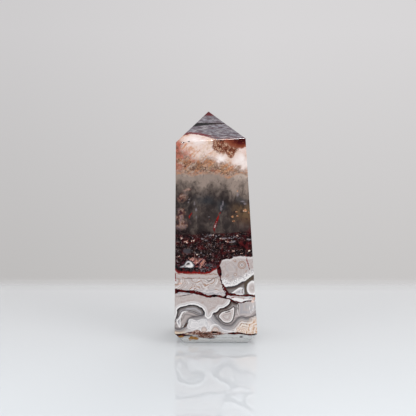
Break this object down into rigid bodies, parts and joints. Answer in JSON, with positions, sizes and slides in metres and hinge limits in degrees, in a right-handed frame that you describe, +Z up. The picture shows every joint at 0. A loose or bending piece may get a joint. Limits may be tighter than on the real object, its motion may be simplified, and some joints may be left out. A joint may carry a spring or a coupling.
{
  "type": "mexican lace agate tower",
  "caption": "Polished four-sided agate tower with a slight lean, a low pointed crown and a bevelled sawn foot that it stands on.",
  "frame": {"origin": "on the standing surface, under the middle of the tower's widest line at the top of the foot bevel", "axes": "+Z up the tower, -Y out of its front face, +X to the right seen from the front"},
  "size_m": [0.0276, 0.0274, 0.0782],
  "materials": {
    "lace_agate": "polished banded agate: rust and cream layer, smoky grey layer, black and maroon breccia, white and grey lace"
  },
  "bodies": {
    "root": {"agate_tower": "lace_agate"}
  },
  "joints": []
}
